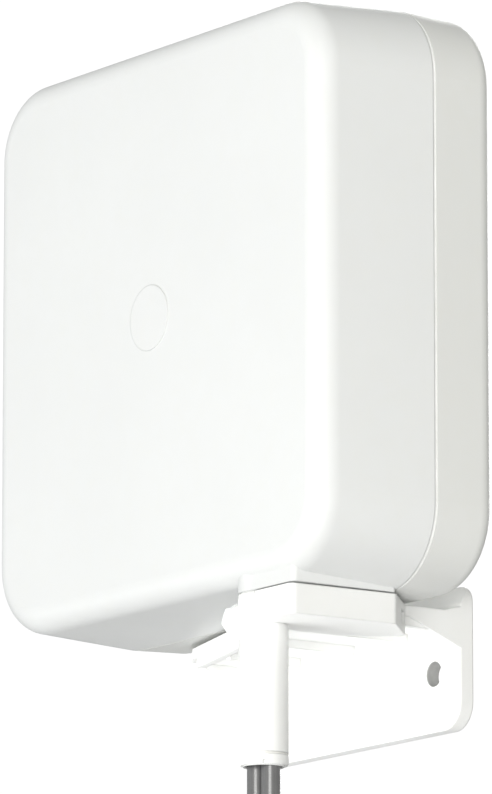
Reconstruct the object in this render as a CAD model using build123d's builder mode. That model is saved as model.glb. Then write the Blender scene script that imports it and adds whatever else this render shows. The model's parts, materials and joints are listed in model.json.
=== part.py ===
"""Enclosed directional antenna on a swivelling wall bracket.

Frame: origin on the wall plane midway between the two screw holes of the
bracket, +Z up, the antenna looks along -Y, +X to the right seen from the front.
"Front" is -Y, "rear" is +Y. All dimensions are millimetres.
"""
import math
import os
from build123d import *

os.makedirs("parts", exist_ok=True)

# ------------------------------------------------------------ main dimensions
# radome
RAD_W = 170.0            # width over the seam
RAD_H = 168.5            # height over the seam
RAD_ZC = 101.75          # height of the radome centre above the screw holes
RAD_BOT = RAD_ZC - RAD_H / 2
RAD_CR = 23.1            # corner radius seen from the front
FRONT_Y = -75.3          # front face
SEAM_Y = -36.3           # parting line
REAR_Y = -14.8           # rear face
FRONT_EDGE = 7.2         # edge radius round the front face
REAR_EDGE = 5.0          # edge radius round the rear face
FRONT_TAPER = 3.19       # draft of the front shell, degrees
REAR_TAPER = 2.3         # draft of the rear shell, degrees
WALL = 2.5               # shell wall
GASKET_H = 0.8
FRONT_RIM_Y = SEAM_Y - GASKET_H / 2
REAR_RIM_Y = SEAM_Y + GASKET_H / 2

# reflector plate and the pads behind it
REF_Y = -25.0            # front surface of the reflector
REF_T = 1.2
PAD_H = 2.2              # pads inside the rear wall
PAD_Y = REAR_Y - WALL - PAD_H

# pivot
PIV_X, PIV_Y = 43.3, -66.3
PIVOT = (PIV_X, PIV_Y)
BARREL_R = 7.1
BARREL_BORE = 6.1
BARREL_TOP, BARREL_BOT = 15.5, -28.8
SPIN_R = 6.05            # journal of the spindle
SPIN_TOP_R = 6.5         # upper part above the shoulder
SPIN_BORE = 5.45
SPIN_TOP = 27.0          # top of the spindle bore in the radome
SPIN_END = -32.6
NUT_BOT = -32.2
THRUST_T = 0.8           # washer on top of the barrel
SHOULDER_Z = BARREL_TOP + THRUST_T + 0.05

# foot under the front shell and head block of the bracket share these limits
BLK_X0, BLK_X1 = 41.5, 67.0
BLK_Y0, BLK_Y1 = -72.8, -37.3
FOOT_BOT = 16.8
HEAD_BOT = 7.8

# lock screw, pointing along +X at the barrel
LOCK_Z = 10.8
LOCK_SEAT_X = 33.4
LOCK_AXIS = (PIV_Y, LOCK_Z)

HEX_R = 4.62             # corner radius of lock screw head and coupling nuts
CAB_R = 2.68             # cable radius
TAIL_Z = -118.0          # where the plugs begin
SIDES = (("left", -1), ("right", 1))

# cover screws round the rim: corners, then middles of the sides
RIM_OFFSETS = [(sx * 73.4, sz * 72.65) for sx in (-1, 1) for sz in (-1, 1)]
RIM_OFFSETS += [(-78.2, 0), (78.2, 0), (0, 77.4), (0, -77.4)]
RIM_XZ = [(x, RAD_ZC + z) for x, z in RIM_OFFSETS]
RIM_ZX = [(z, x) for x, z in RIM_XZ]
SPACER_OFFSET = 48.0
SPACERS_ZX = [(RAD_ZC + sz * SPACER_OFFSET, sx * SPACER_OFFSET)
              for sx in (-1, 1) for sz in (-1, 1)]
# director posts, on a cross about the radome axis
POST_OFFSET = 18.0
POSTS_ZX = [(RAD_ZC, POST_OFFSET), (RAD_ZC, -POST_OFFSET),
            (RAD_ZC + POST_OFFSET, 0), (RAD_ZC - POST_OFFSET, 0)]


# -------------------------------------------------------------------- helpers
def facing_front(y):
    """Plane at y with local axes (x, z), extruding towards -Y."""
    return Plane.XZ.offset(-y)


def facing_rear(y):
    """Plane at y with local axes (z, x), extruding towards +Y."""
    return Plane.ZX.offset(y)


def facing_up(z):
    """Plane at z with local axes (x, y), extruding towards +Z."""
    return Plane.XY.offset(z)


def facing_right(x):
    """Plane at x with local axes (y, z), extruding towards +X."""
    return Plane.YZ.offset(x)


def discs(radius, *points, mode=Mode.ADD):
    """Circles in the current sketch."""
    with Locations(*points):
        Circle(radius, mode=mode)


def crosses(length, width, points):
    """Upright crosses in the current sketch."""
    with Locations(*points):
        Rectangle(length, width)
        Rectangle(width, length)


def outline_xz(inset=0.0, mode=Mode.ADD):
    """Seam outline of the radome, moved inwards, for a facing_front sketch."""
    with Locations((0, RAD_ZC)):
        RectangleRounded(RAD_W - 2 * inset, RAD_H - 2 * inset, RAD_CR - inset, mode=mode)


def outline_zx(inset=0.0, mode=Mode.ADD):
    """The same outline for a facing_rear sketch."""
    with Locations((RAD_ZC, 0)):
        RectangleRounded(RAD_H - 2 * inset, RAD_W - 2 * inset, RAD_CR - inset, mode=mode)


def ring(plane, centre, outer, bore, thickness):
    """Flat ring as a finished part."""
    with BuildPart() as built:
        with BuildSketch(plane):
            discs(outer, centre)
            discs(bore, centre, mode=Mode.SUBTRACT)
        extrude(amount=thickness)
    return built.part


def save(part, label):
    part.label = label
    export_step(part, f"parts/{label}.step")


# --------------------------------------------------------------- front radome
FRONT_DEPTH = FRONT_RIM_Y - FRONT_Y
SKIN = 0.4               # inner pads stop this far inside the outer skin
BOSS_R = 4.4             # screw bosses of both shells
BOSS_Y = SEAM_Y - 4.4    # rear end of the front bosses

with BuildPart() as front_cavity:
    with BuildSketch(facing_front(FRONT_RIM_Y)):
        outline_xz(WALL)
    extrude(amount=FRONT_DEPTH - WALL, taper=FRONT_TAPER)
    fillet(front_cavity.faces().sort_by(Axis.Y)[0].edges(), FRONT_EDGE - WALL)

# body a little inside the shell skin, used to trim the inner pads
with BuildPart() as front_envelope:
    with BuildSketch(facing_front(FRONT_RIM_Y)):
        outline_xz(SKIN)
    extrude(amount=FRONT_DEPTH - SKIN, taper=FRONT_TAPER)
    fillet(front_envelope.faces().sort_by(Axis.Y)[0].edges(), FRONT_EDGE - SKIN)

# box-shaped pad inside the shell that carries the pivot spindle
with BuildPart() as pivot_pad:
    with BuildSketch(facing_up(RAD_BOT - 1.0)):
        with Locations((PIV_X, PIV_Y + 1.5)):
            Rectangle(20, 19)
    extrude(amount=SPIN_TOP - RAD_BOT + 1.5)
    add(front_envelope.part, mode=Mode.INTERSECT)

# flat-bottomed foot that fills the draft and the edge radius over the bracket
with BuildPart() as foot_block:
    with BuildSketch(facing_up(FOOT_BOT)) as foot_outline:
        with Locations(((BLK_X0 + BLK_X1) / 2, (BLK_Y0 + BLK_Y1) / 2)):
            Rectangle(BLK_X1 - BLK_X0, BLK_Y1 - BLK_Y0)
        fillet(foot_outline.vertices().group_by(Axis.Y)[0], 1.5)
        fillet(foot_outline.vertices().group_by(Axis.Y)[-1], 1.0)
        discs(BARREL_R, PIVOT)
    extrude(amount=8.0)

# (y, z) profile of the foot's extent; its top lies within the lower wall
FOOT_PROFILE = [
    (-80.0, FOOT_BOT - 1), (-36.0, FOOT_BOT - 1), (-36.0, RAD_BOT + 1.4),
    (-66.0, RAD_BOT + 3.0), (-70.5, RAD_BOT + 5.2), (-74.0, RAD_BOT + 8.0),
    (-80.0, RAD_BOT + 8.0),
]
with BuildPart() as foot_limit:
    with BuildSketch(facing_right(BLK_X0 - 8)):
        with BuildLine():
            Polyline(FOOT_PROFILE, close=True)
        make_face()
    extrude(amount=BLK_X1 - BLK_X0 + 10)
with BuildPart() as foot:
    add(foot_block.part)
    add(foot_limit.part, mode=Mode.INTERSECT)

with BuildPart() as front_bosses:
    with BuildSketch(facing_front(BOSS_Y)):
        discs(BOSS_R, *RIM_XZ)
    extrude(amount=16)
    add(front_envelope.part, mode=Mode.INTERSECT)

with BuildPart() as front_radome:
    with BuildSketch(facing_front(FRONT_RIM_Y)):
        outline_xz()
    extrude(amount=FRONT_DEPTH, taper=FRONT_TAPER)
    fillet(front_radome.faces().sort_by(Axis.Y)[0].edges(), FRONT_EDGE)
    add(front_cavity.part, mode=Mode.SUBTRACT)
    add(pivot_pad.part)
    add(foot.part)
    add(front_bosses.part)
    # plain disc, raised 0.3 from the front face
    with BuildSketch(facing_front(FRONT_Y + 0.1)):
        discs(9.6, (-1.0, RAD_ZC + 1.0))
    extrude(amount=0.4)
    # blind pilot holes of the cover screws
    with BuildSketch(facing_front(BOSS_Y)):
        discs(1.45, *RIM_XZ)
    extrude(amount=12.5, mode=Mode.SUBTRACT)
    # bore for the spindle
    with BuildSketch(facing_up(FOOT_BOT - 3.0)):
        discs(SPIN_TOP_R + 0.02, PIVOT)
    extrude(amount=SPIN_TOP - FOOT_BOT + 3.0, mode=Mode.SUBTRACT)
    # cable throat above the spindle
    with BuildSketch(facing_up(SPIN_TOP - 0.1)):
        discs(SPIN_BORE, PIVOT)
    extrude(amount=2.0, mode=Mode.SUBTRACT)
save(front_radome.part, "front_radome")

# ----------------------------------------------------------------- rear cover
REAR_DEPTH = REAR_Y - REAR_RIM_Y
LIP_INSET = WALL + 0.35  # lip and posts clear the front shell by 0.35
LIP_T = 1.4
POST_Y = SEAM_Y - 4.2    # front end of the screw posts
SCREW_SEAT_Y = SEAM_Y + 3.0
THROUGH = 40.0           # cut length that always breaks through

with BuildPart() as rear_cavity:
    with BuildSketch(facing_rear(REAR_RIM_Y)):
        outline_zx(WALL)
    extrude(amount=REAR_DEPTH - WALL, taper=REAR_TAPER)
    fillet(rear_cavity.faces().sort_by(Axis.Y)[-1].edges(), REAR_EDGE - WALL)

with BuildPart() as rear_posts:
    with BuildSketch(facing_rear(POST_Y)):
        discs(BOSS_R, *RIM_ZX)
    extrude(amount=REAR_Y - SEAM_Y + 3.2)
with BuildPart() as rear_envelope:
    with BuildSketch(facing_rear(SEAM_Y - 5.0)):
        outline_zx(LIP_INSET)
    extrude(amount=REAR_Y - SEAM_Y + 4.0)
with BuildPart() as trimmed_posts:
    add(rear_posts.part)
    add(rear_envelope.part, mode=Mode.INTERSECT)

with BuildPart() as rear_cover:
    with BuildSketch(facing_rear(REAR_RIM_Y)):
        outline_zx()
    extrude(amount=REAR_DEPTH, taper=REAR_TAPER)
    fillet(rear_cover.faces().sort_by(Axis.Y)[-1].edges(), REAR_EDGE)
    add(rear_cavity.part, mode=Mode.SUBTRACT)
    # locating lip that enters the front shell
    with BuildSketch(facing_rear(SEAM_Y - 3.4)):
        outline_zx(LIP_INSET)
        outline_zx(LIP_INSET + LIP_T, mode=Mode.SUBTRACT)
    extrude(amount=6.0)
    # screw posts with clearance hole and, from the rear, head recess
    add(trimmed_posts.part)
    with BuildSketch(facing_rear(POST_Y)):
        discs(1.75, *RIM_ZX)
    extrude(amount=THROUGH, mode=Mode.SUBTRACT)
    with BuildSketch(facing_rear(SCREW_SEAT_Y)):
        discs(2.9, *RIM_ZX)
    extrude(amount=THROUGH, mode=Mode.SUBTRACT)
    # square groove, 3 wide and 0.8 deep, in the rear face
    with BuildSketch(facing_rear(REAR_Y - 0.8)):
        with Locations((RAD_ZC, 0)):
            RectangleRounded(112, 112, 10)
            RectangleRounded(106, 106, 7, mode=Mode.SUBTRACT)
    extrude(amount=2, mode=Mode.SUBTRACT)
    # pads under the reflector spacers, with pilot holes
    with BuildSketch(facing_rear(PAD_Y)):
        discs(5.0, *SPACERS_ZX)
    extrude(amount=PAD_H + 0.4)
    with BuildSketch(facing_rear(PAD_Y - 0.8)):
        discs(1.3, *SPACERS_ZX)
    extrude(amount=3.4, mode=Mode.SUBTRACT)
save(rear_cover.part, "rear_cover")

# ---------------------------------------------------------------- seam gasket
with BuildPart() as seam_gasket:
    with BuildSketch(facing_front(REAR_RIM_Y)):
        outline_xz(0.2)
        outline_xz(2.3, mode=Mode.SUBTRACT)
    extrude(amount=GASKET_H)
save(seam_gasket.part, "seam_gasket")

# --------------------------------------------------------------- cover screws
COVER_SHANK = 17.0
with BuildPart() as cover_screws:
    # heads, at the rear end
    with BuildSketch(facing_rear(SCREW_SEAT_Y)):
        discs(2.65, *RIM_ZX)
    extrude(amount=2.2)
    # shanks, overlapping the heads by 0.2
    with BuildSketch(facing_rear(SCREW_SEAT_Y - COVER_SHANK)):
        discs(1.4, *RIM_ZX)
    extrude(amount=COVER_SHANK + 0.2)
    # cross recesses, 1.0 deep
    with BuildSketch(facing_rear(SCREW_SEAT_Y + 1.2)):
        crosses(3.2, 0.7, RIM_ZX)
    extrude(amount=2, mode=Mode.SUBTRACT)
save(cover_screws.part, "cover_screws")

# ------------------------------------------------------------ reflector plate
REF_SIZE = 130.0
FLANGE_X = REF_SIZE / 2 - REF_T / 2
FLANGE_L, FLANGE_H = 112.0, 7.0
with BuildPart() as reflector_plate:
    with BuildSketch(facing_rear(REF_Y)):
        with Locations((RAD_ZC, 0)):
            RectangleRounded(REF_SIZE, REF_SIZE, 6)
    extrude(amount=REF_T)
    # flanges bent forward along the left and right edges
    with BuildSketch(facing_rear(REF_Y - FLANGE_H)):
        with Locations((RAD_ZC, FLANGE_X), (RAD_ZC, -FLANGE_X)):
            Rectangle(FLANGE_L, REF_T)
    extrude(amount=FLANGE_H + 0.2)
    # holes for the spacer screws and the director posts
    with BuildSketch(facing_rear(REF_Y - 1)):
        discs(1.6, *SPACERS_ZX)
        discs(1.55, *POSTS_ZX)
    extrude(amount=4, mode=Mode.SUBTRACT)
save(reflector_plate.part, "reflector_plate")

# --------------------------------------------- reflector spacers and screws
with BuildPart() as reflector_standoffs:
    with BuildSketch(facing_rear(REF_Y + REF_T)):
        with Locations(*SPACERS_ZX):
            RegularPolygon(3.6, 6)
            Circle(1.55, mode=Mode.SUBTRACT)
    extrude(amount=PAD_Y - (REF_Y + REF_T))
save(reflector_standoffs.part, "reflector_standoffs")

REF_HEAD_H = 2.0
with BuildPart() as reflector_screws:
    # heads in front of the reflector
    with BuildSketch(facing_rear(REF_Y - REF_HEAD_H)):
        discs(2.7, *SPACERS_ZX)
    extrude(amount=REF_HEAD_H)
    # shanks through the spacers into the pads
    with BuildSketch(facing_rear(REF_Y - 0.2)):
        discs(1.25, *SPACERS_ZX)
    extrude(amount=PAD_Y - REF_Y + 2.4)
    # cross recesses, 1.0 deep
    with BuildSketch(facing_rear(REF_Y - REF_HEAD_H - 0.4)):
        crosses(3.0, 0.6, SPACERS_ZX)
    extrude(amount=1.4, mode=Mode.SUBTRACT)
save(reflector_screws.part, "reflector_screws")

# ------------------------------------------------------ crossed dipole boards
BOARD_T = 1.6
BOARD_W = 60.0
BOARD_H = 31.0
BOARD_Y = REF_Y - 0.02   # foot of the boards
NOTCH_W = BOARD_T + 0.1
COPPER_T = 0.12
# notches of the two boards: (middle above the foot, length)
FRONT_NOTCH = (BOARD_H - 7.5, 15.2)
REAR_NOTCH = (8.0, 16.2)

# board coordinates: (across, height in front of the reflector)
BOARD_OUTLINE = [
    (-12, 0), (12, 0), (12, 16), (BOARD_W / 2, 22), (BOARD_W / 2, BOARD_H),
    (-BOARD_W / 2, BOARD_H), (-BOARD_W / 2, 22), (-12, 16),
]
# one dipole arm with its stem; the other arm is its mirror image
ARM_OUTLINE = [(1.6, 4), (5.2, 4), (5.2, 22.5), (28.5, 24.0), (28.5, 30), (1.6, 30)]
FEED_STRIP = [(2.0, 1.5), (4.4, 1.5), (4.4, 20.0), (2.0, 20.0)]


def board_plane(tilt):
    """Mid-plane of a board: local x across, local y forward from the reflector."""
    angle = math.radians(tilt)
    return Plane(origin=(0, BOARD_Y, RAD_ZC), x_dir=(math.cos(angle), 0, math.sin(angle)),
                 z_dir=(math.sin(angle), 0, -math.cos(angle)))


def dipole_board(tilt, notch):
    middle, length = notch
    plane = board_plane(tilt)
    with BuildPart() as board:
        with BuildSketch(plane):
            with BuildLine():
                Polyline(BOARD_OUTLINE, close=True)
            make_face()
        extrude(amount=BOARD_T / 2, both=True)
        with BuildSketch(plane):
            with Locations((0, middle)):
                Rectangle(NOTCH_W, length)
        extrude(amount=3, both=True, mode=Mode.SUBTRACT)
    return board.part


def dipole_copper(tilt):
    """Two arms on one face of the board, the feed strip on the other."""
    plane = board_plane(tilt)
    with BuildPart() as copper:
        with BuildSketch(plane.offset(BOARD_T / 2)):
            for mirror_x in (-1, 1):
                with BuildLine():
                    Polyline([(x * mirror_x, y) for x, y in ARM_OUTLINE], close=True)
                make_face()
        extrude(amount=COPPER_T)
        with BuildSketch(plane.offset(-BOARD_T / 2 - COPPER_T)):
            with BuildLine():
                Polyline(FEED_STRIP, close=True)
            make_face()
        extrude(amount=COPPER_T)
    return copper.part


for letter, tilt, notch in (("a", 45.0, FRONT_NOTCH), ("b", -45.0, REAR_NOTCH)):
    save(dipole_board(tilt, notch), f"dipole_board_{letter}")
    save(dipole_copper(tilt), f"dipole_copper_{letter}")

# ------------------------------------------------------------------ directors
INNER_DIR_Y, OUTER_DIR_Y = -60.0, -68.0      # front surfaces
DIR_T = 0.8
for name, front_y, radius, hole_radius in (
    ("director_inner", INNER_DIR_Y, 25.0, 7.0),
    ("director_outer", OUTER_DIR_Y, 22.0, 6.0),
):
    with BuildPart() as director:
        with BuildSketch(facing_rear(front_y)):
            discs(radius, (RAD_ZC, 0))
            discs(hole_radius, (RAD_ZC, 0), mode=Mode.SUBTRACT)
            discs(1.55, *POSTS_ZX, mode=Mode.SUBTRACT)
        extrude(amount=DIR_T)
    save(director.part, name)

DIR_GAP = 0.05           # play between the posts and the plates they hold
POST_R, PIN_R = 2.6, 1.5
# lengths of the posts: (front y, rear y, radius)
POST_LENGTHS = [
    (INNER_DIR_Y + DIR_T + DIR_GAP, REF_Y - DIR_GAP, POST_R),        # reflector to inner
    (OUTER_DIR_Y + DIR_T + DIR_GAP, INNER_DIR_Y - DIR_GAP, POST_R),  # inner to outer
    (OUTER_DIR_Y - 0.6, INNER_DIR_Y + 1.2, PIN_R),                   # through the directors
    (REF_Y - 0.6, REF_Y + 2.2, PIN_R),                               # through the reflector
]
with BuildPart() as director_posts:
    for front_y, rear_y, radius in POST_LENGTHS:
        with BuildSketch(facing_rear(front_y)):
            discs(radius, *POSTS_ZX)
        extrude(amount=rear_y - front_y)
    # shallow heads in front of the outer director
    with BuildSketch(facing_rear(OUTER_DIR_Y - 1.6)):
        discs(2.2, *POSTS_ZX)
    extrude(amount=1.6 - DIR_GAP)
save(director_posts.part, "director_posts")

# -------------------------------------------------------------- pivot spindle
with BuildPart() as pivot_spindle:
    with BuildSketch(facing_up(SPIN_END)):
        discs(SPIN_R, PIVOT)
    extrude(amount=SHOULDER_Z - SPIN_END)
    with BuildSketch(facing_up(SHOULDER_Z)):
        discs(SPIN_TOP_R, PIVOT)
    extrude(amount=SPIN_TOP - 0.15 - SHOULDER_Z)
    with BuildSketch(facing_up(SPIN_END - 1)):
        discs(SPIN_BORE, PIVOT)
    extrude(amount=SPIN_TOP - SPIN_END + 2, mode=Mode.SUBTRACT)
    chamfer(pivot_spindle.edges().filter_by(GeomType.CIRCLE).group_by(Axis.Z)[0], 0.25)
save(pivot_spindle.part, "pivot_spindle")

# ------------------------------------------------------- washers and nut ring
save(ring(facing_up(BARREL_TOP), PIVOT, outer=7.05, bore=SPIN_R + 0.06, thickness=THRUST_T),
     "thrust_washer")

LOWER_WASHER_Z = BARREL_BOT - 0.65
save(ring(facing_up(LOWER_WASHER_Z), PIVOT, outer=7.0, bore=SPIN_R + 0.03, thickness=0.6),
     "lower_washer")

NUT_R = 7.1
with BuildPart() as spindle_nut:
    with BuildSketch(facing_up(NUT_BOT)):
        discs(NUT_R, PIVOT)
        discs(SPIN_R + 0.02, PIVOT, mode=Mode.SUBTRACT)
    extrude(amount=LOWER_WASHER_Z - 0.02 - NUT_BOT)
    nut_circles = spindle_nut.edges().filter_by(GeomType.CIRCLE)
    chamfer(nut_circles.group_by(Axis.Z)[0].sort_by(SortBy.RADIUS)[-1], 0.4)
    # three notches in the lower rim
    with BuildSketch(facing_up(NUT_BOT - 0.8)):
        with Locations(PIVOT):
            with PolarLocations(NUT_R, 3, start_angle=90):
                Rectangle(1.2, 1.6)
    extrude(amount=1.8, mode=Mode.SUBTRACT)
save(spindle_nut.part, "spindle_nut")

# --------------------------------------------------------------- wall bracket
PLATE_HX = 53.0          # half width of the plate
PLATE_T = 4.3
PLATE_Z0, PLATE_Z1 = -17.0, 24.5
HOLE_X = 40.0            # half of the screw hole spacing
HOLE_R = 3.65
SHELF_Z0, SHELF_Z1 = 13.3, 16.4
PLATE_IN_Y = -2.0        # shelf and gussets start inside the plate
GUSSET_T = 3.0
SIDE_RIB_X, SIDE_RIB_T = 49.6, 2.6
RIB_H = 2.6              # ribs hanging under the shelf
CORE_X = 54.4            # left side of the coring in the head block
CORE_WALL = 2.4          # left above and below the coring

# plan outlines, (x, y)
SHELF_OUTLINE = [
    (-PLATE_HX, PLATE_IN_Y), (-PLATE_HX, -24.5), (-46.0, -29.2), (-19.6, -37.0),
    (10.0, -46.0), (26.0, -52.0), (35.6, -59.0), (38.6, -64.6), (54.0, -66.6),
    (54.0, BLK_Y1 + 0.5), (PLATE_HX, -27.0), (PLATE_HX, PLATE_IN_Y),
]
HEAD_OUTLINE = [
    (BLK_X0, BLK_Y0), (BLK_X1 - 1.0, BLK_Y0), (BLK_X1, BLK_Y1), (PLATE_HX, -24.0),
    (SIDE_RIB_X, -24.0), (BLK_X0, BLK_Y1),
]
EDGE_RIB_OUTLINE = [
    (37.6, -64.4), (35.4, -58.2), (26.4, -51.1), (10.0, -44.8), (-19.2, -35.8),
    (-45.0, -28.3), (-44.4, -26.0), (-18.6, -33.6), (10.8, -42.5), (27.4, -49.0),
    (37.6, -56.8), (41.0, -62.0),
]
WEB_OUTLINE = [(38.6, -66.0), (38.6, -57.0), (52.2, -57.0), (52.0, -66.0)]
# cross ribs: (x, middle y, length)
CROSS_RIBS = [(0, -18.0, 33.0), (26.0, -25.0, 48.0), (-27.0, -16.0, 27.0)]

# side profiles, (y, z)
RIGHT_GUSSET = [
    (PLATE_IN_Y, 5.0), (-PLATE_T, 6.0), (-25.5, SHELF_Z0 + 1.4), (-27.0, SHELF_Z1 - 0.4),
    (-27.0, SHELF_Z1), (-9.8, SHELF_Z1), (-7.4, SHELF_Z1 + 0.8),
    (-PLATE_T, SHELF_Z1 + 1.4), (PLATE_IN_Y, SHELF_Z1 + 1.4),
]
LEFT_GUSSET = [
    (PLATE_IN_Y, 2.6), (-PLATE_T, 3.4), (-25.0, SHELF_Z0 + 0.2), (-25.0, SHELF_Z1),
    (PLATE_IN_Y, SHELF_Z1),
]
SIDE_RIB = [
    (-66.0, HEAD_BOT), (-38.0, HEAD_BOT), (-27.0, 11.0), (-16.0, 10.4),
    (PLATE_IN_Y, 9.6), (PLATE_IN_Y, SHELF_Z1), (-66.0, SHELF_Z1 - 0.2),
]
CORE_PROFILE = [
    (-69.8, HEAD_BOT + CORE_WALL), (-39.0, HEAD_BOT + CORE_WALL),
    (-39.0, SHELF_Z1 - CORE_WALL), (-69.8, SHELF_Z1 - CORE_WALL),
]
BEVEL_PROFILE = [
    (-PLATE_T - 0.01, 18.9), (-0.8, PLATE_Z1 + 0.01), (-PLATE_T - 0.01, PLATE_Z1 + 0.01),
]

with BuildPart() as wall_bracket:
    # wall plate, lower corners rounder than the upper ones
    with BuildSketch(facing_front(0)) as plate_outline:
        with BuildLine():
            Polyline([(-PLATE_HX, PLATE_Z0), (PLATE_HX, PLATE_Z0),
                      (PLATE_HX, PLATE_Z1), (-PLATE_HX, PLATE_Z1)], close=True)
        make_face()
        fillet(plate_outline.vertices().group_by(Axis.Y)[0], 8.0)
        fillet(plate_outline.vertices().group_by(Axis.Y)[-1], 5.0)
    extrude(amount=PLATE_T)
    # triangular shelf that reaches forward to the barrel
    with BuildSketch(facing_up(SHELF_Z0)) as shelf:
        with BuildLine():
            Polyline(SHELF_OUTLINE, close=True)
        make_face()
        fillet(shelf.vertices().filter_by(lambda v: v.Y < -20 and v.Y > -62 and v.X < 45), 5.0)
    extrude(amount=SHELF_Z1 - SHELF_Z0)
    # head block beside the barrel, its rear corner swept into the shelf end
    with BuildSketch(facing_up(HEAD_BOT)) as head:
        with BuildLine():
            Polyline(HEAD_OUTLINE, close=True)
        make_face()
        fillet(head.vertices().group_by(Axis.Y)[0], 2.0)
        fillet(head.vertices().sort_by(Axis.X)[-1], 2.0)
    extrude(amount=SHELF_Z1 - HEAD_BOT)
    # end gussets, then the deep side rib from the barrel back to the right gusset
    for left_x, profile, thickness in (
        (PLATE_HX - GUSSET_T, RIGHT_GUSSET, GUSSET_T),
        (-PLATE_HX, LEFT_GUSSET, GUSSET_T),
        (SIDE_RIB_X, SIDE_RIB, SIDE_RIB_T),
    ):
        with BuildSketch(facing_right(left_x)):
            with BuildLine():
                Polyline(profile, close=True)
            make_face()
        extrude(amount=thickness)
    # diagonal rib under the free edge of the shelf
    with BuildSketch(facing_up(SHELF_Z0 - RIB_H)):
        with BuildLine():
            Polyline(EDGE_RIB_OUTLINE, close=True)
        make_face()
    extrude(amount=RIB_H + 0.2)
    # three cross ribs that stiffen the shelf against the plate
    with BuildSketch(facing_up(SHELF_Z0 - RIB_H)):
        for x, y, length in CROSS_RIBS:
            with Locations((x, y)):
                Rectangle(2.2, length)
    extrude(amount=RIB_H + 0.2)
    # barrel
    with BuildSketch(facing_up(BARREL_BOT)):
        discs(BARREL_R, PIVOT)
    extrude(amount=BARREL_TOP - BARREL_BOT)
    # web that ties barrel, rib and shelf together
    with BuildSketch(facing_up(HEAD_BOT)):
        with BuildLine():
            Polyline(WEB_OUTLINE, close=True)
        make_face()
    extrude(amount=SHELF_Z1 - HEAD_BOT)
    # boss for the lock screw
    with BuildSketch(facing_right(LOCK_SEAT_X)):
        discs(4.6, LOCK_AXIS)
    extrude(amount=PIV_X - LOCK_SEAT_X - 3.0)
    # coring inside the head block, with a channel to its rear
    with BuildSketch(facing_right(CORE_X)):
        with BuildLine():
            Polyline(CORE_PROFILE, close=True)
        make_face()
    extrude(amount=BLK_X1 - 2.6 - CORE_X, mode=Mode.SUBTRACT)
    with BuildSketch(facing_front(-25.0)):
        with Locations((57.0, (HEAD_BOT + SHELF_Z1) / 2)):
            Rectangle(4.4, SHELF_Z1 - HEAD_BOT - 2 * CORE_WALL)
    extrude(amount=20.0, mode=Mode.SUBTRACT)
    # swing clearance round spindle shoulder and thrust washer
    with BuildSketch(facing_up(BARREL_TOP)):
        discs(8.1, PIVOT)
    extrude(amount=6.0, mode=Mode.SUBTRACT)
    # bore of the barrel
    with BuildSketch(facing_up(BARREL_BOT - 2)):
        discs(BARREL_BORE, PIVOT)
    extrude(amount=60, mode=Mode.SUBTRACT)
    # seat of the threaded insert, then the screw hole into the barrel bore
    for radius, depth in ((3.2, 4.55), (2.55, 9.0)):
        with BuildSketch(facing_right(LOCK_SEAT_X - 1)):
            discs(radius, LOCK_AXIS)
        extrude(amount=depth, mode=Mode.SUBTRACT)
    # long bevel on the upper front edge of the plate, clears the rear of the housing
    with BuildSketch(facing_right(-PLATE_HX - 1)):
        with BuildLine():
            Polyline(BEVEL_PROFILE, close=True)
        make_face()
    extrude(amount=2 * PLATE_HX + 2, mode=Mode.SUBTRACT)
    # screw holes through the wall plate
    with BuildSketch(facing_front(1)):
        discs(HOLE_R, (-HOLE_X, 0), (HOLE_X, 0))
    extrude(amount=PLATE_T + 2, mode=Mode.SUBTRACT)
    # two rows of coring pockets in the wall side of the plate
    with BuildSketch(facing_front(0)):
        for row_z, height in ((-4.2, 19.0), (13.2, 9.0)):
            with Locations((-21.0, row_z), (0, row_z), (21.0, row_z)):
                RectangleRounded(17.0, height, 2.0)
    extrude(amount=2.0, mode=Mode.SUBTRACT)
    # plain bar low on the plate, raised 0.25 from its front
    with BuildSketch(facing_front(0.1 - PLATE_T)):
        with Locations((0.0, -11.0)):
            RectangleRounded(62.0, 2.2, 1.0)
    extrude(amount=0.35)
save(wall_bracket.part, "wall_bracket")

# ---------------------------------------------------------- lock screw pieces
save(ring(facing_right(LOCK_SEAT_X + 0.05), LOCK_AXIS, outer=3.18, bore=2.5, thickness=3.45),
     "lock_insert")
save(ring(facing_right(LOCK_SEAT_X - 1.1), LOCK_AXIS, outer=4.9, bore=2.6, thickness=1.08),
     "lock_washer")

LOCK_HEAD_H = 3.6
LOCK_HEAD_X = LOCK_SEAT_X - 1.15 - LOCK_HEAD_H   # outer end of the head
LOCK_SHANK_X = LOCK_SEAT_X - 1.2
with BuildPart() as lock_screw:
    with BuildSketch(facing_right(LOCK_HEAD_X)):
        with Locations(LOCK_AXIS):
            RegularPolygon(HEX_R, 6, rotation=12)
    extrude(amount=LOCK_HEAD_H)
    # conical bevel on the corners of the hexagon
    with BuildSketch(facing_up(LOCK_Z)):
        with BuildLine():
            Polyline([(LOCK_HEAD_X, PIV_Y + 3.7), (LOCK_HEAD_X, PIV_Y + 6.5),
                      (LOCK_HEAD_X + 1.15, PIV_Y + 6.5)], close=True)
        make_face()
    revolve(axis=Axis((0, PIV_Y, LOCK_Z), (1, 0, 0)), mode=Mode.SUBTRACT)
    # shank, ending 0.1 short of the spindle
    with BuildSketch(facing_right(LOCK_SHANK_X)):
        discs(2.45, LOCK_AXIS)
    extrude(amount=PIV_X - SPIN_R - 0.1 - LOCK_SHANK_X)
save(lock_screw.part, "lock_screw")

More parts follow.
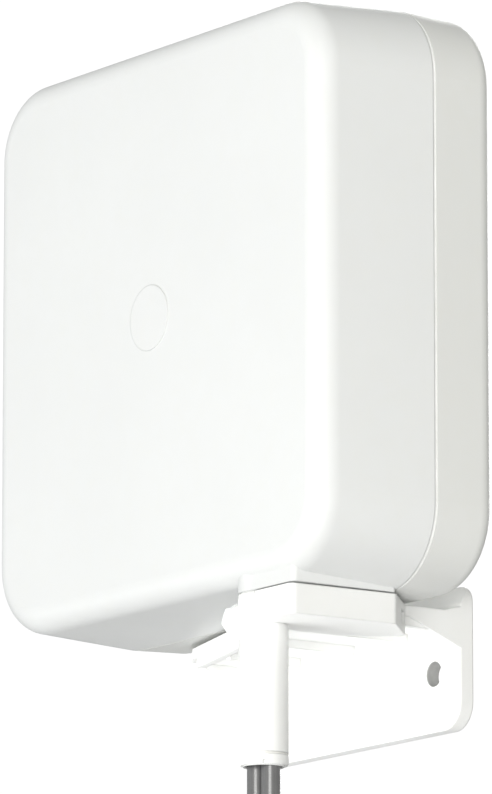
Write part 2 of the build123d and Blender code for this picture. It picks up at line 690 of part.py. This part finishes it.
# --------------------------------------------------------------------- cables
CAB_OFFSET = 2.755       # half spacing inside the spindle
TAIL_OFFSET = 9.0        # half spacing of the hanging ends
CAB_ANGLE = math.radians(12.0)   # turn of the pair about the pivot axis
SPREAD_Z0, SPREAD_Z1 = -84.0, -52.0   # heights between which the pair spreads
TURN_Z = 39.5            # where the cables turn rearward inside the radome
RUN_Y = -29.9            # run in front of the reflector
FEED_X = 6.0
FEED_Z = RAD_ZC - 16.0
RUN_Z = {"left": RAD_ZC - 50.0, "right": RAD_ZC - 42.0}   # crosswise run
feed_points = [(sign * FEED_X, RUN_Y) for _, sign in SIDES]


def beside_pivot(offset):
    """Point (x, y) at a signed distance from the pivot along the cable pair."""
    return PIV_X + offset * math.cos(CAB_ANGLE), PIV_Y + offset * math.sin(CAB_ANGLE)


for side, sign in SIDES:
    inner_x, inner_y = beside_pivot(sign * CAB_OFFSET)
    tail_x, tail_y = beside_pivot(sign * TAIL_OFFSET)
    route = [
        (tail_x, tail_y, TAIL_Z), (tail_x, tail_y, SPREAD_Z0),
        (inner_x, inner_y, SPREAD_Z1), (inner_x, inner_y, TURN_Z),
        (inner_x, RUN_Y, TURN_Z), (inner_x, RUN_Y, RUN_Z[side]),
        (sign * FEED_X, RUN_Y, RUN_Z[side]), (sign * FEED_X, RUN_Y, FEED_Z),
    ]
    with BuildPart() as cable:
        with BuildLine():
            FilletPolyline(*route, radius=6.5)
        with BuildSketch(Plane(origin=route[0], z_dir=(0, 0, 1))):
            Circle(CAB_R)
        sweep()
    save(cable.part, f"cable_{side}")

# centre conductors rising from the cable ends
with BuildPart() as feed_pins:
    for point in feed_points:
        with BuildSketch(facing_up(FEED_Z + 0.05)):
            discs(0.55, point)
        extrude(amount=5.0)
save(feed_pins.part, "feed_pins")

# saddles that hold both cables to the reflector
CLIP_R = CAB_R + 1.1
with BuildPart() as cable_clips:
    for x, y in feed_points:
        with BuildSketch(facing_up(FEED_Z - 13.0)):
            discs(CLIP_R, (x, y))
            with Locations((x, (y + REF_Y) / 2 - 0.02)):
                Rectangle(2 * CLIP_R, REF_Y - y - 0.02)
            with Locations((x, REF_Y - 0.52)):
                Rectangle(11.4, 1.0)
            discs(CAB_R + 0.02, (x, y), mode=Mode.SUBTRACT)
        extrude(amount=5.0)
save(cable_clips.part, "cable_clips")

# ------------------------------------------- sleeves, plugs and coupling nuts
# half section of a plug, (radius, depth below TAIL_Z): ferrule, shoulder, neck,
# flange inside the nut, centre pin
PLUG_PROFILE = [
    (0, 0.05), (2.9, 0.05), (2.9, 5.0), (3.6, 5.6), (3.6, 7.6), (2.4, 7.6), (2.4, 10.2),
    (3.1, 10.2), (3.1, 11.4), (2.3, 11.4), (2.3, 12.6), (0.46, 12.6), (0.46, 15.2), (0, 15.6),
]
for side, sign in SIDES:
    x, y = beside_pivot(sign * TAIL_OFFSET)
    with BuildPart() as boot:
        with BuildSketch(facing_up(TAIL_Z + 1.0)):
            discs(3.3, (x, y))
            discs(CAB_R + 0.02, (x, y), mode=Mode.SUBTRACT)
        extrude(amount=16.0)
        boot_circles = boot.edges().filter_by(GeomType.CIRCLE)
        chamfer(boot_circles.group_by(Axis.Z)[-1].sort_by(SortBy.RADIUS)[-1], 0.4)
    save(boot.part, f"boot_{side}")

    with BuildPart() as plug:
        with BuildSketch(facing_front(y)):
            with BuildLine():
                Polyline([(x + radius, TAIL_Z - depth) for radius, depth in PLUG_PROFILE],
                         close=True)
            make_face()
        revolve(axis=Axis((x, y, 0), (0, 0, 1)))
    save(plug.part, f"plug_{side}")

    with BuildPart() as coupling_nut:
        with BuildSketch(facing_up(TAIL_Z - 16.4)):
            with Locations((x, y)):
                RegularPolygon(HEX_R, 6)
        extrude(amount=8.2)
        # wide bore open at the bottom, then the neck hole through the top
        for radius, depth in ((3.18, 7.4), (2.45, 12)):
            with BuildSketch(facing_up(TAIL_Z - 17)):
                discs(radius, (x, y))
            extrude(amount=depth, mode=Mode.SUBTRACT)
    save(coupling_nut.part, f"coupling_nut_{side}")
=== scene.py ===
# Materials, floor, lights and camera for a pale moulded housing on a wall bracket, with a cable.
# Units are metres and +Z is up. The bracket's screw holes run along Y, at z = 0.
# The camera stands at -Y, towards +X, and looks slightly up from below.
import json
import math
import bpy
from mathutils import Matrix, Vector

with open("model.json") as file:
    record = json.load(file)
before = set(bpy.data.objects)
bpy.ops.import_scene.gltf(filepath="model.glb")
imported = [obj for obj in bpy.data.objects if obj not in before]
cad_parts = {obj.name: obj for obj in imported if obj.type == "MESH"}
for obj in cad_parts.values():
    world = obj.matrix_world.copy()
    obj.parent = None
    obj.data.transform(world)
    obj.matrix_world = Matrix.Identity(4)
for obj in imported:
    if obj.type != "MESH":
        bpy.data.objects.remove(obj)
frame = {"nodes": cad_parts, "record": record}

scene = bpy.context.scene
PIECES = frame["nodes"]

# The bracket's two screw holes
BORE_X = 0.040              # distance of each axis from x = 0
BORE_RADIUS = 0.00365

# The stage
FLOOR_Z = -0.75
FLOOR_HALF = 3.0            # half the floor's side
FLOOR_CELLS = 24            # cells along each side
LIGHT_TARGET = (0.0, -0.045, 0.10)

# The camera
CAMERA_TARGET = Vector((0.0046159, -0.0453, 0.0819961))
CAMERA_DISTANCE = 2.1898407
CAMERA_AZIMUTH = 0.9611     # radians from -Y towards +X
CAMERA_DROP = 0.1938        # radians below the horizontal
SENSOR_HEIGHT_MM = 36.0
LENS_MM = 343.236423


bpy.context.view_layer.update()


# ------------------------------------------------------------------ node graphs
class Graph:
    """Builds the node tree of a material or a world. Each method returns an output socket."""

    def __init__(self, owner):
        owner.use_nodes = True
        self.tree = owner.node_tree
        self.tree.nodes.clear()

    def feed(self, socket, value):
        """Link an output to the socket, or set its value; colours get an alpha of 1."""
        if isinstance(value, bpy.types.NodeSocket):
            self.tree.links.new(value, socket)
        elif isinstance(value, (tuple, list)) and len(socket.default_value) == 4:
            socket.default_value = (*value, 1.0)
        else:
            socket.default_value = value

    def add(self, kind, inputs=None, **settings):
        """Add a node: settings are its properties, inputs maps socket keys to values."""
        node = self.tree.nodes.new("ShaderNode" + kind)
        for key, value in settings.items():
            setattr(node, key, value)
        for key, value in (inputs or {}).items():
            self.feed(node.inputs[key], value)
        return node

    def remap(self, source, span=(0.3, 0.7), to=(0.0, 1.0), **settings):
        """Map the source's span onto the range in to."""
        return self.add("MapRange", {
            "Value": source,
            "From Min": span[0], "From Max": span[1],
            "To Min": to[0], "To Max": to[1]}, **settings).outputs["Result"]

    def math(self, operation, first, second=0.0):
        return self.add("Math", {0: first, 1: second}, operation=operation).outputs[0]

    def mix(self, factor, first, second):
        """Blend two colours; sockets 0, 6 and 7 are the factor and the colour pair."""
        return self.add("Mix", {0: factor, 6: first, 7: second}, data_type="RGBA").outputs[2]


class Surface(Graph):
    """A material graph around one Principled BSDF, textured in object coordinates."""

    def __init__(self, name):
        self.material = bpy.data.materials.new(name)
        super().__init__(self.material)
        self.output = self.add("OutputMaterial")
        self.bsdf = self.add("BsdfPrincipled")
        self.feed(self.output.inputs["Surface"], self.bsdf.outputs["BSDF"])
        self.position = self.add("TexCoord").outputs["Object"]

    def set(self, key, value):
        self.feed(self.bsdf.inputs[key], value)

    def coords(self, stretch=(1, 1, 1)):
        return self.add("Mapping", {"Scale": stretch, "Vector": self.position}).outputs["Vector"]

    def noise(self, scale, detail=3.0, rough=0.55, stretch=(1, 1, 1)):
        return self.add("TexNoise", {
            "Scale": scale, "Detail": detail, "Roughness": rough,
            "Vector": self.coords(stretch)}).outputs["Fac"]

    def voronoi(self, scale):
        return self.add("TexVoronoi", {
            "Scale": scale, "Vector": self.coords()}).outputs["Distance"]

    def wave(self, scale, direction, distortion):
        return self.add("TexWave", {
            "Scale": scale, "Distortion": distortion,
            "Vector": self.coords()}, bands_direction=direction).outputs["Fac"]

    def bump(self, height, strength, distance, normal=None):
        inputs = {"Strength": strength, "Distance": distance, "Height": height}
        if normal is not None:
            inputs["Normal"] = normal
        return self.add("Bump", inputs).outputs["Normal"]

    def soft_edge(self, radius):
        return self.add("Bevel", {"Radius": radius}, samples=6).outputs["Normal"]

    def occlusion(self, distance, inside=False):
        return self.add("AmbientOcclusion", {"Distance": distance},
                        samples=8, inside=inside).outputs["AO"]


def scaled(colour, factor, offset=0.0):
    return [min(1.0, channel * factor + offset) for channel in colour]


# ------------------------------------------------------------------ materials
def bore_painted_shade(surface, base, mottle):
    """Painted shade: darken the base colour on the walls of the two screw holes, where the deep
    bores lie in shade.
    """
    xyz = surface.add("SeparateXYZ", {"Vector": surface.position}).outputs
    across = surface.math("SUBTRACT", surface.math("ABSOLUTE", xyz["X"]), BORE_X)
    radius = surface.math("SQRT", surface.math(
        "ADD",
        surface.math("MULTIPLY", across, across),
        surface.math("MULTIPLY", xyz["Z"], xyz["Z"])))
    # full strength up to the wall, fading out just beyond it
    in_bore = surface.remap(radius, span=(BORE_RADIUS + 0.00002, BORE_RADIUS + 0.00006), to=(1, 0))
    # the painted shade is fainter towards -Y
    depth = surface.remap(xyz["Y"], span=(-0.0044, -0.0038), to=(0.55, 1.0))
    bore_shade_amount = surface.math("MULTIPLY", surface.math("MULTIPLY", in_bore, depth),
                          surface.remap(mottle, to=(0.75, 0.95)))
    # dark grey of the painted shade in the bores
    return surface.mix(bore_shade_amount, base, (0.36, 0.36, 0.355))


def moulded_plastic(name, colour, rough, grain, grain_mm, corner_shade_strength, edge=0.0005, bores=False):
    """Moulded shell: eroded grain, faint flow clouding, and painted shade darkening the corners.
    """
    surface = Surface(name)
    cloud = surface.noise(scale=14.0, detail=4.0, rough=0.6)
    mottle = surface.noise(scale=160.0, rough=0.6)
    base = surface.mix(surface.remap(cloud), scaled(colour, 0.985), scaled(colour, 1.012))
    warm = (colour[0] * 0.992, colour[1] * 0.985, colour[2] * 0.962)
    base = surface.mix(surface.remap(mottle, span=(0.42, 0.75), to=(0, 0.35)), base, warm)
    # painted shade: darker in corners and creases, taken from the occlusion and broken up by the
    # mottle
    corner_shade = surface.remap(surface.occlusion(distance=0.004), span=(0.35, 0.95), to=(1, 0))
    corner_shade = surface.math("MULTIPLY", corner_shade, surface.remap(mottle, to=(0.35, 1.0)))
    corner_shade = surface.math("MULTIPLY", corner_shade, 0.30 * corner_shade_strength)
    base = surface.mix(corner_shade, base, (0.42, 0.41, 0.38))
    # painted shade on the walls of the screw holes
    if bores:
        base = bore_painted_shade(surface, base, mottle)
    surface.set("Base Color", base)
    streak = surface.noise(scale=60.0, detail=5.0, rough=0.65, stretch=(1, 1, 0.35))
    surface.set("Roughness", surface.remap(streak, to=(rough - 0.05, rough + 0.07)))
    surface.set("IOR", 1.5)
    surface.set("Specular IOR Level", 0.45)
    # fine grain in two layers, then a broad waviness
    grain_depth = grain_mm / 1000
    normal = surface.bump(surface.noise(scale=grain, detail=2.0, rough=0.6),
                          strength=0.35, distance=grain_depth, normal=surface.soft_edge(edge))
    normal = surface.bump(surface.voronoi(scale=grain * 0.8),
                          strength=0.18, distance=grain_depth, normal=normal)
    normal = surface.bump(surface.noise(scale=22.0, detail=2.0, rough=0.5),
                          strength=0.10, distance=0.0002, normal=normal)
    surface.set("Normal", normal)
    surface.set("Subsurface Weight", 0.04)
    surface.set("Subsurface Radius", (0.004, 0.004, 0.0035))
    return surface.material


def painted(name, colour, rough=0.32):
    """Lightly glossy paint, worn in patches along the edges."""
    surface = Surface(name)
    mottle = surface.noise(scale=300.0, rough=0.6)
    worn = surface.remap(surface.noise(scale=900.0, detail=4.0, rough=0.7), span=(0.62, 0.70))
    edge = surface.remap(surface.occlusion(distance=0.0008, inside=True),
                         span=(0.55, 0.9), to=(1, 0))
    worn = surface.math("MULTIPLY", worn, edge)
    base = surface.mix(surface.remap(mottle, span=(0.35, 0.7), to=(0, 0.4)),
                       colour, scaled(colour, 0.96))
    base = surface.mix(surface.math("MULTIPLY", worn, 0.55), base, (0.55, 0.55, 0.56))
    surface.set("Base Color", base)
    surface.set("Roughness", surface.remap(mottle, to=(rough - 0.04, rough + 0.08)))
    surface.set("Coat Weight", 0.25)
    surface.set("Coat Roughness", 0.2)
    surface.set("Normal", surface.bump(
        surface.noise(scale=700.0, detail=2.0, rough=0.5),
        strength=0.25, distance=0.00003, normal=surface.soft_edge(0.0003)))
    return surface.material


def metal(name, colour, rough, brushed=None, tint=None):
    """Metal mottled towards a tint; brushed is the noise scale along each axis."""
    surface = Surface(name)
    surface.set("Metallic", 1.0)
    mottle = surface.noise(scale=250.0, detail=4.0, rough=0.6)
    surface.set("Base Color", surface.mix(
        surface.remap(mottle, span=(0.3, 0.75)), colour, tint or scaled(colour, 0.88)))
    if brushed:
        lines = surface.noise(scale=1.0, detail=5.0, rough=0.6, stretch=brushed)
        surface.set("Roughness", surface.remap(lines, to=(rough - 0.07, rough + 0.12)))
        normal = surface.bump(lines, strength=0.35, distance=0.00002)
    else:
        surface.set("Roughness", surface.remap(mottle, to=(rough - 0.06, rough + 0.1)))
        normal = surface.bump(surface.noise(scale=1500.0, rough=0.6),
                              strength=0.2, distance=0.00001)
    surface.set("Normal", normal)
    return surface.material


def rubber(name, colour, rough, fine=1400.0):
    """Matt rubber; fine is the scale of its grain."""
    surface = Surface(name)
    mottle = surface.noise(scale=120.0, detail=4.0, rough=0.6)
    surface.set("Base Color", surface.mix(
        surface.remap(mottle), colour, scaled(colour, 1.25, offset=0.004)))
    surface.set("Roughness", surface.remap(
        surface.noise(scale=420.0, detail=4.0, rough=0.65), to=(rough - 0.08, rough + 0.1)))
    surface.set("Normal", surface.bump(
        surface.noise(scale=fine, rough=0.6), strength=0.3, distance=0.00003))
    return surface.material


def cable_jacket(name, colour):
    """Extruded jacket: fine drag lines along Z, handling haze."""
    surface = Surface(name)
    drag = surface.noise(scale=1.0, rough=0.6, stretch=(2600, 2600, 30))
    haze = surface.noise(scale=90.0, detail=4.0, rough=0.65)
    surface.set("Base Color", surface.mix(
        surface.remap(haze, span=(0.35, 0.7)), colour, scaled(colour, 1.35)))
    surface.set("Roughness", surface.remap(drag, to=(0.24, 0.34)))
    surface.set("Specular IOR Level", 0.9)
    surface.set("Coat Weight", 0.6)
    surface.set("Coat Roughness", 0.22)
    normal = surface.bump(drag, strength=0.25, distance=0.00003)
    normal = surface.bump(surface.noise(scale=35.0, detail=2.0, rough=0.5),
                          strength=0.25, distance=0.0003, normal=normal)
    surface.set("Normal", normal)
    return surface.material


def laminate(name):
    """Green board with a fine weave in X and Z."""
    surface = Surface(name)
    weave = surface.math("MULTIPLY",
                         surface.wave(scale=900.0, direction="X", distortion=0.3),
                         surface.wave(scale=900.0, direction="Z", distortion=0.3))
    surface.set("Base Color", surface.mix(
        surface.remap(weave, span=(0.1, 0.8)), (0.045, 0.14, 0.07), (0.07, 0.20, 0.10)))
    surface.set("Roughness", 0.35)
    surface.set("Coat Weight", 0.5)
    surface.set("Normal", surface.bump(weave, strength=0.3, distance=0.00002))
    return surface.material


# Material name: (maker, its settings)
FINISHES = {
    "asa_front": (moulded_plastic, dict(
        colour=(0.84, 0.852, 0.85), rough=0.40, grain=1900, grain_mm=0.02, corner_shade_strength=0.3)),
    "asa_rear": (moulded_plastic, dict(
        colour=(0.825, 0.833, 0.815), rough=0.44, grain=1700, grain_mm=0.025, corner_shade_strength=0.4)),
    "asa_bracket": (moulded_plastic, dict(
        colour=(0.925, 0.93, 0.92), rough=0.44, grain=1500, grain_mm=0.03, corner_shade_strength=0.35,
        edge=0.0007, bores=True)),
    "white_screw": (painted, dict(colour=(0.84, 0.86, 0.86))),
    "white_alu": (painted, dict(colour=(0.85, 0.86, 0.85), rough=0.36)),
    "brass_insert": (metal, dict(colour=(0.72, 0.52, 0.22), rough=0.35)),
    "acetal": (moulded_plastic, dict(
        colour=(0.86, 0.86, 0.83), rough=0.35, grain=1400, grain_mm=0.015, corner_shade_strength=0.3)),
    "gasket_rubber": (rubber, dict(colour=(0.84, 0.85, 0.83), rough=0.55)),
    "stainless": (metal, dict(colour=(0.62, 0.62, 0.63), rough=0.25, brushed=(3000, 200, 3000))),
    "alu_sheet": (metal, dict(colour=(0.78, 0.79, 0.80), rough=0.32, brushed=(40, 2500, 2500))),
    "nylon": (moulded_plastic, dict(
        colour=(0.82, 0.80, 0.72), rough=0.4, grain=1200, grain_mm=0.02, corner_shade_strength=0.3)),
    "laminate": (laminate, dict()),
    "copper": (metal, dict(colour=(0.86, 0.46, 0.28), rough=0.28, tint=(0.62, 0.30, 0.18))),
    "cable_jacket": (cable_jacket, dict(colour=(0.12, 0.12, 0.122))),
    "heat_shrink": (rubber, dict(colour=(0.035, 0.035, 0.037), rough=0.42, fine=900.0)),
    "gold_plate": (metal, dict(colour=(0.95, 0.72, 0.33), rough=0.22)),
    "nickel_plate": (metal, dict(
        colour=(0.66, 0.63, 0.58), rough=0.24, brushed=(2500, 2500, 150))),
}
MATERIALS = {name: maker(name, **settings) for name, (maker, settings) in FINISHES.items()}

finish_of = {part["node"]: part["material_slot"] for part in frame["record"]["subparts"]}
for name, piece in PIECES.items():
    material = MATERIALS[finish_of[name]]
    if not piece.data.materials:
        piece.data.materials.append(material)
    for slot in piece.material_slots:
        slot.material = material


# ------------------------------------------------------------------ floor
def floor_material():
    """Pale floor, darker to the object than to the camera, and unseen from below."""
    surface = Surface("floor_pale")
    seen = surface.mix(surface.remap(surface.noise(scale=6.0, detail=4.0, rough=0.6)),
                       (0.90, 0.90, 0.89), (0.93, 0.93, 0.92))
    # the darker grey holds down the light thrown back onto the object
    to_camera = surface.add("LightPath").outputs["Is Camera Ray"]
    surface.set("Base Color", surface.mix(to_camera, (0.54, 0.54, 0.54), seen))
    surface.set("Roughness", surface.remap(
        surface.noise(scale=30.0, detail=4.0, rough=0.6), to=(0.55, 0.7)))
    surface.set("Normal", surface.bump(
        surface.noise(scale=400.0, rough=0.6), strength=0.1, distance=0.0001))
    one_sided = surface.add("MixShader", {
        "Fac": surface.add("NewGeometry").outputs["Backfacing"],
        1: surface.bsdf.outputs["BSDF"],
        2: surface.add("BsdfTransparent").outputs["BSDF"]})
    surface.feed(surface.output.inputs["Surface"], one_sided.outputs["Shader"])
    return surface.material


def build_floor():
    """Flat square grid."""
    steps = [-FLOOR_HALF + 2 * FLOOR_HALF * i / FLOOR_CELLS for i in range(FLOOR_CELLS + 1)]
    verts = [(x, y, FLOOR_Z) for y in steps for x in steps]
    row = FLOOR_CELLS + 1
    corners = [j * row + i for j in range(FLOOR_CELLS) for i in range(FLOOR_CELLS)]
    faces = [(a, a + 1, a + row + 1, a + row) for a in corners]
    mesh = bpy.data.meshes.new("floor")
    mesh.from_pydata(verts, [], faces)
    floor = bpy.data.objects.new("floor", mesh)
    scene.collection.objects.link(floor)
    mesh.materials.append(floor_material())
    return floor


floor = build_floor()


# ------------------------------------------------------------------ world
def build_world():
    """Graded ambient light for the object, a pale backdrop for the camera."""
    world = bpy.data.worlds.new("studio")
    scene.world = world
    graph = Graph(world)
    direction = graph.add("TexCoord").outputs["Generated"]
    xyz = graph.add("SeparateXYZ", {"Vector": direction}).outputs

    # ambient: brighter from -Y and from above, slightly warm from +X
    level = graph.math("MULTIPLY",
                       graph.remap(xyz["Y"], span=(-1, 1), to=(1.16, 0.70)),
                       graph.remap(xyz["Z"], span=(-1, 1), to=(0.74, 1.00)))
    tint = graph.mix(graph.remap(xyz["X"], span=(-0.6, 0.8)),
                     (0.985, 1.0, 1.005), (1.0, 0.995, 0.945))
    graded = graph.add("VectorMath", {0: tint, "Scale": level}, operation="SCALE")
    ambient = graph.add("Background", {"Color": graded.outputs["Vector"], "Strength": 0.59})

    # backdrop: white about the viewing direction, pale grey towards the other sides
    facing = graph.add("VectorMath", {0: direction, 1: (-0.8041, 0.5620, 0.1926)},
                       operation="DOT_PRODUCT").outputs["Value"]
    white = 1.05
    # the plain strength only counts if the link after it is removed
    backdrop = graph.add("Background", {"Color": (1, 1, 1), "Strength": white})
    graph.feed(backdrop.inputs["Strength"], graph.remap(
        facing, span=(0.77, 0.99), to=(0.74, white), interpolation_type="SMOOTHSTEP"))

    both = graph.add("MixShader", {
        "Fac": graph.add("LightPath").outputs["Is Camera Ray"],
        1: ambient.outputs["Background"],
        2: backdrop.outputs["Background"]})
    graph.add("OutputWorld", {"Surface": both.outputs["Shader"]})


build_world()


# ------------------------------------------------------------------ lights
def area(name, place, size, power, target=LIGHT_TARGET, colour=(1, 1, 1)):
    """Square softbox aimed at the target, hidden from the camera."""
    data = bpy.data.lights.new(name, "AREA")
    data.shape = "RECTANGLE"
    data.size = size
    data.size_y = size
    data.energy = power
    data.color = colour
    light = bpy.data.objects.new(name, data)
    scene.collection.objects.link(light)
    light.location = place
    aim = Vector(target) - Vector(place)
    light.rotation_euler = aim.to_track_quat("-Z", "Y").to_euler()
    light.visible_camera = False
    return light


def light_only(light, name, receivers):
    """Let the light reach only the receivers, gathered in a collection of that name."""
    group = bpy.data.collections.new(name)
    scene.collection.children.link(group)
    for receiver in receivers:
        group.objects.link(receiver)
    light.light_linking.receiver_collection = group


# main softbox at -Y and +X, a fill for the bracket, a weak one low at -X
area("key", place=(1.04, -1.10, -0.16), size=0.8, power=15.2, colour=(1.0, 0.995, 0.975))
fill = area("bracket_fill", place=(-0.02, -0.60, -0.34), target=(0.0, -0.02, 0.0),
            size=0.32, power=2.7)
area("low_left", place=(-0.72, -0.92, -0.44), size=0.5, power=3.4, colour=(0.97, 0.99, 1.0))
# a soft light at +Y for the back of the housing, and one that only brightens the floor
rear = area("rear_left", place=(-1.30, 1.35, 0.75), size=1.0, power=17.0)
overhead = area("overhead", place=(-0.35, 0.55, 1.90), target=(0.0, 0.0, FLOOR_Z),
                size=1.4, power=20.0)

BRACKET_PIECES = ("wall_bracket", "lock_insert", "lock_washer", "lock_screw",
                  "thrust_washer", "lower_washer", "spindle_nut")
light_only(fill, "bracket_lit", [PIECES[name] for name in BRACKET_PIECES])
light_only(rear, "object_lit", PIECES.values())
light_only(overhead, "floor_lit", [floor])


# ------------------------------------------------------------------ camera
def build_camera():
    data = bpy.data.cameras.new("cam")
    data.sensor_fit = "VERTICAL"
    data.sensor_height = SENSOR_HEIGHT_MM
    data.lens = LENS_MM
    data.clip_start = 0.05
    data.clip_end = 20.0
    camera = bpy.data.objects.new("cam", data)
    scene.collection.objects.link(camera)
    # the camera's own axes: +Z points back from the target
    back = Vector((math.sin(CAMERA_AZIMUTH) * math.cos(CAMERA_DROP),
                   -math.cos(CAMERA_AZIMUTH) * math.cos(CAMERA_DROP),
                   -math.sin(CAMERA_DROP)))
    right = Vector((0, 0, 1)).cross(back).normalized()
    up = back.cross(right)
    pose = Matrix((right, up, back)).transposed().to_4x4()
    pose.translation = CAMERA_TARGET + back * CAMERA_DISTANCE
    camera.matrix_world = pose
    scene.camera = camera


build_camera()

scene.view_settings.view_transform = "Standard"
scene.view_settings.look = "None"
scene.view_settings.exposure = 0.0
